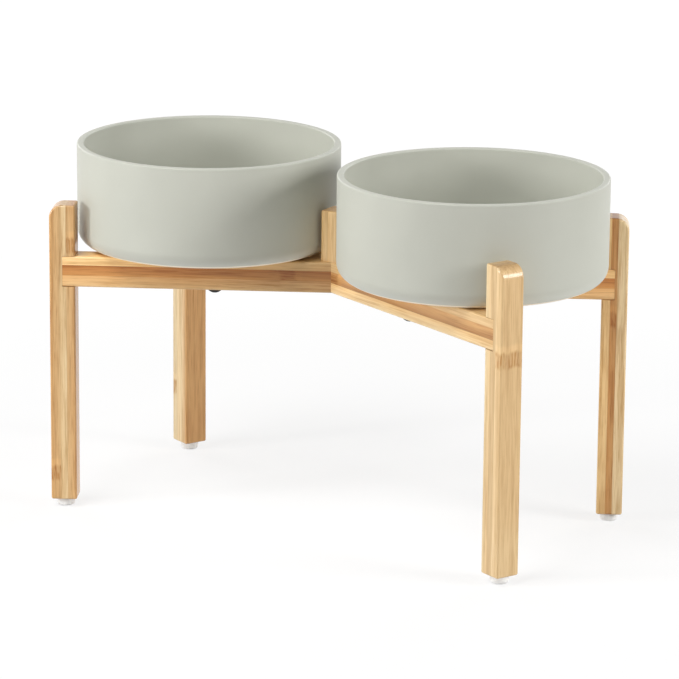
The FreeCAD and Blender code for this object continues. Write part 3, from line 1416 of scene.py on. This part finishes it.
class BambooStock:
    """The bamboo bars as they were picked for this stand: their plies, knuckles and tones."""

    CREAM = tone(245, 219, 172)
    IVORY = tone(233, 210, 166)
    STRAW = tone(244, 206, 146)
    PALE = tone(234, 201, 149)
    WHEAT = tone(219, 187, 138)
    HONEY = tone(228, 190, 136)
    GOLD = tone(224, 175, 114)
    AMBER = tone(214, 164, 102)
    TAWNY = tone(208, 150, 84)
    BROWN = tone(180, 129, 72)
    RUST = tone(184, 118, 56)

    # The plies of a leg run from the inner one to the outer one
    LEGS = {
        Place.FRONT_LEFT: BambooFinish(
            (Ply(GOLD, HONEY, 0.210), Ply(CREAM, PALE), Ply(HONEY, AMBER, 0.028)),
            (-3.0 * MM, 2.1 * MM),
            seed=3.1,
            depth=1.3,
        ),
        Place.BACK_LEFT: BambooFinish(
            (Ply(GOLD, CREAM), Ply(CREAM, CREAM), Ply(IVORY, IVORY, 0.052)),
            (-3.2 * MM, 3.4 * MM),
            seed=11.7,
            depth=1.1,
        ),
        Place.FRONT_RIGHT: BambooFinish(
            (Ply(IVORY, PALE), Ply(WHEAT, WHEAT), Ply(CREAM, PALE, 0.1715)),
            (-3.0 * MM, 3.0 * MM),
            seed=23.4,
            depth=0.9,
        ),
        Place.BACK_RIGHT: BambooFinish(
            (Ply(STRAW, STRAW), Ply(TAWNY, AMBER, 0.162), Ply(CREAM, CREAM)),
            (-3.2 * MM, 2.0 * MM),
            seed=37.9,
            depth=1.4,
        ),
    }

    # The plies of a rail run from the bottom up
    RAIL_LOWER = BambooFinish(
        (Ply(HONEY, GOLD, 0.120), Ply(TAWNY, RUST, -0.038), Ply(STRAW, STRAW, 0.150)),
        (-2.9 * MM, 5.2 * MM),
        seed=5.6,
        depth=1.3,
        # Painted light on this rail's ends and painted shade in its middle, under the bowls
        painted_end_light=2.6,
    )
    RAIL_UPPER = BambooFinish(
        (Ply(CREAM, STRAW), Ply(BROWN, GOLD, 0.008), Ply(PALE, PALE, -0.120)),
        (-3.8 * MM, 5.0 * MM),
        seed=17.2,
    )

    # The plies of the post run from the left to the right
    POST = BambooFinish(
        (Ply(STRAW, PALE), Ply(STRAW, PALE), Ply(PALE, PALE)),
        (-4.0 * MM, 3.0 * MM),
        seed=29.3,
    )


class Hardware:
    """The pieces inside the joints, which keep their shapes and get their finishes here."""

    def dress(self) -> None:
        """Finishes the bolt, washer, insert, nails and dowels."""
        zinc = MetalFinish(tone(204, 206, 208), tone(160, 162, 164), 0.30).material("zinc_plate")
        brass = MetalFinish(tone(214, 178, 104), tone(170, 132, 70), 0.32).material("plain_brass")
        wood = DowelFinish().material("turned_dowel")
        finishes = {
            "centre_bolt": zinc,
            "centre_washer": zinc,
            "foot_nails": zinc,
            "centre_insert": brass,
            "leg_dowels": wood,
        }
        for node, finish in finishes.items():
            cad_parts[node].material_slots[0].material = finish
            LOG.info("%s keeps its shape, in %s", node, finish.name)


def direction(azimuth: float, elevation: float) -> Vector:
    """Gives the direction from the object to a place round it, in degrees."""
    turn, rise = math.radians(azimuth), math.radians(elevation)
    return Vector((math.sin(turn) * math.cos(rise), -math.cos(turn) * math.cos(rise), math.sin(rise)))


@dataclass(frozen=True)
class Viewpoint:
    """The camera's place and lens, worked out from the picture's perspective."""

    azimuth: float = 29.57
    elevation: float = 14.46
    roll: float = 0.49
    distance: float = 3.0924
    height: float = 0.150
    focal_px: float = 4015.3
    right_px: float = 1.8
    down_px: float = 14.5
    image_px: int = 679
    sensor_mm: float = 36.0

    def build(self) -> None:
        """Makes the scene's camera."""
        back = direction(self.azimuth, self.elevation)
        level = direction(self.azimuth + 90, 0)
        roll = math.radians(self.roll)
        right = level * math.cos(roll) + back.cross(level) * math.sin(roll)
        up = back.cross(level) * math.cos(roll) - level * math.sin(roll)
        behind = (back * self.focal_px - right * self.right_px + up * self.down_px).normalized()
        across = up.cross(behind).normalized()
        axes = Matrix((across, behind.cross(across), behind)).transposed()
        lens = bpy.data.cameras.new("camera")
        lens.sensor_fit = "HORIZONTAL"
        lens.sensor_width = self.sensor_mm
        lens.lens = self.sensor_mm * self.focal_px / self.image_px
        camera = show("camera", lens)
        place = Vector((0, 0, self.height)) + back * self.distance
        camera.matrix_world = Matrix.Translation(place) @ axes.to_4x4()
        bpy.context.scene.camera = camera


@dataclass(frozen=True)
class Softbox:
    """A square softbox: where it stands as seen from the camera, its size in metres and its power."""

    name: str
    side: float
    rise: float
    size: float
    power: float


@dataclass(frozen=True)
class Studio:
    """A plain pale floor under soft light from both sides, from above and from behind."""

    viewpoint: Viewpoint
    boxes: Tuple[Softbox, ...] = (
        Softbox("left_softbox", -73.0, 14.0, 0.35, 12.8),
        Softbox("fill_softbox", -48.0, 12.0, 0.8, 3.4),
        Softbox("right_softbox", 67.0, 19.0, 0.65, 19.6),
        Softbox("high_softbox", -46.0, 57.0, 0.8, 19.2),
        Softbox("back_left_softbox", -145.0, 24.0, 0.8, 6.5),
        Softbox("back_right_softbox", 145.0, 24.0, 0.8, 6.5),
    )
    box_distance: float = 1.8
    aim: float = 0.16
    ambient: float = 0.07
    floor_size: float = 12.0
    floor_drop: float = 0.1 * MM
    floor_pale: Colour = (0.90, 0.90, 0.90, 1.0)
    floor_dim: Colour = (0.71, 0.71, 0.71, 1.0)
    floor_lift: float = 0.76
    floor_white: float = 1.02
    shadow_reach: Tuple[float, float] = (0.30, 0.90)

    def build(self) -> None:
        """Makes the lights, the floor and the world."""
        bpy.context.scene.view_settings.view_transform = "Standard"
        for box in self.boxes:
            self._lamp(box)
        self._floor()
        self._world()

    def _lamp(self, box: Softbox) -> None:
        """Makes one softbox, aimed at the object.

        Args:
            box: The softbox.
        """
        way = direction(self.viewpoint.azimuth + box.side, box.rise)
        lamp = bpy.data.lights.new(box.name, "AREA")
        lamp.shape = "SQUARE"
        lamp.size = box.size
        lamp.energy = box.power
        place = Vector((0, 0, self.aim)) + way * self.box_distance
        show(box.name, lamp).matrix_world = facing(place, way)

    def _floor(self) -> None:
        """Makes the floor, lifted to white where it is seen but for a soft shadow about the object."""
        sheet = FinishSheet("studio_floor")
        seen = sheet.seen()
        pale = sheet.mix(seen, self.floor_dim, self.floor_pale)
        cloth = sheet.node("ShaderNodeBsdfDiffuse", {}, {"Color": pale})
        white = sheet.node("ShaderNodeEmission", {}, {"Strength": self.floor_white})
        length = {"operation": "LENGTH"}
        away = sheet.node("ShaderNodeVectorMath", length, {"Vector": sheet.place()}, "Value")
        share = seen * (self.floor_lift + away.ramp(*self.shadow_reach) * (1 - self.floor_lift))
        inputs = {"Fac": share, "Shader": cloth, "Shader_001": white}
        sheet.close(sheet.node("ShaderNodeMixShader", {}, inputs))
        half = self.floor_size / 2
        mesh = bpy.data.meshes.new("studio_floor")
        corners = [(-half, -half), (half, -half), (half, half), (-half, half)]
        mesh.from_pydata([(x, y, -self.floor_drop) for x, y in corners], [], [(0, 1, 2, 3)])
        mesh.materials.append(sheet.material)
        show("studio_floor", mesh)

    def _world(self) -> None:
        """Makes an even white surround that is full white where it is seen."""
        world = bpy.data.worlds.new("studio")
        world.use_nodes = True
        bpy.context.scene.world = world
        sheet = NodeSheet(world.node_tree)
        seen = sheet.seen()
        strength = self.ambient + seen * (1 - self.ambient)
        glow = sheet.node("ShaderNodeBackground", {}, {"Color": (1, 1, 1, 1), "Strength": strength})
        sheet.add("ShaderNodeOutputWorld", {}, {"Surface": glow})


def write_sizes() -> None:
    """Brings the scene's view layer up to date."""
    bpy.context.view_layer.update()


def main() -> None:
    """Builds the bowls, the stand and the studio in order."""
    logging.basicConfig(level=logging.INFO, format="%(name)s: %(message)s")
    viewpoint = Viewpoint()
    viewpoint.build()
    plan = StandPlan.from_frame()
    forms = TurnedForm()
    for side in ("left", "right"):
        Bowl(side).build(forms, GlazeFinish())
    for place, finish in BambooStock.LEGS.items():
        Leg(place, finish, plan).build()
    Rail("rail_lower", 1, Lap.UPPER_HALF, BambooStock.RAIL_LOWER, plan).build()
    Rail("rail_upper", -1, Lap.LOWER_HALF, BambooStock.RAIL_UPPER, plan).build()
    Post(BambooStock.POST, plan).build()
    plastic = MouldedFinish(tone(254, 254, 253), tone(250, 250, 249), 0.38)
    rubber = MouldedFinish(tone(8, 8, 9), tone(16, 16, 17), 0.75)
    Feet().build(forms, plan, plastic)
    GripPlugs().build(forms, plan, rubber)
    Hardware().dress()
    Studio(viewpoint).build()
    write_sizes()


if __name__ == "__main__":
    main()
